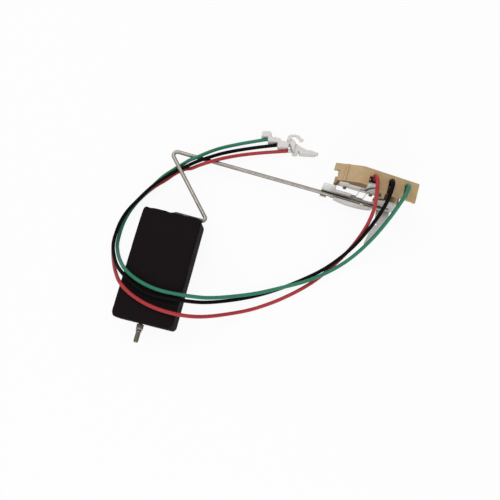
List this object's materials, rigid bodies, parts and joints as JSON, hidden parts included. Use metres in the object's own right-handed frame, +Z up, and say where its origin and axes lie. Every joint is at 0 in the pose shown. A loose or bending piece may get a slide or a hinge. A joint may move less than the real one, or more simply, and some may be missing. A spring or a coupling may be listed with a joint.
{
  "type": "fuel level sender",
  "caption": "Resistive fuel level sender: moulded tray with a resistor card, rotor with bent wire arm, foam float, coloured leads and a flat connector.",
  "frame": {"origin": "on the table under the pivot axis, at the foot of the housing", "axes": "+X along the arm towards the housing end, +Y away from the viewer along the pivot axis, +Z up"},
  "size_m": [0.1686, 0.1521, 0.0351],
  "materials": {
    "tan_nylon": "fine moulded grain",
    "white_nylon": "satin, slightly translucent",
    "natural_nylon": "satin",
    "steel_wire": "drawn wire",
    "foam": "skinned closed-cell foam",
    "ceramic": "fired alumina",
    "silver_print": "fired silver print",
    "resistor_print": "fired resistor print",
    "tinned_brass": "tinned",
    "spring_alloy": "rolled strip",
    "lead_red": "extruded insulation",
    "lead_black": "extruded insulation",
    "lead_green": "extruded insulation"
  },
  "bodies": {
    "housing": {"sensor_housing": "tan_nylon", "mounting_clip": "natural_nylon", "resistor_card": "ceramic", "resistor_track": "resistor_print", "contact_bars": "silver_print", "conductor_pads": "silver_print", "lead_terminals": "tinned_brass", "connector_housing": "natural_nylon", "connector_latch": "natural_nylon", "connector_lock": "natural_nylon", "connector_terminals": "tinned_brass", "lead_red": "lead_red", "lead_black": "lead_black", "lead_green": "lead_green"},
    "arm": {"rotor": "white_nylon", "wiper_spring": "spring_alloy", "wiper_contacts": "silver_print", "wiper_rivets": "tinned_brass", "float_arm": "steel_wire", "pivot_push_nut": "spring_alloy", "float_retainer": "steel_wire"},
    "float": {"float": "foam"}
  },
  "joints": [
    {"name": "arm_hinge", "type": "hinge", "parent": "housing", "child": "arm", "pos_m": [0, 0, 0.008], "axis": [0, 1, 0], "range_deg": [0, 48], "deforming": ["lead_red", "lead_black", "lead_green"]},
    {"name": "float_spin", "type": "hinge", "parent": "arm", "child": "float", "pos_m": [-0.1219, -0.0839, 0.0095], "axis": [-0.0558, 0.9984, 0], "continuous": true, "deforming": ["lead_red", "lead_black", "lead_green"]}
  ]
}
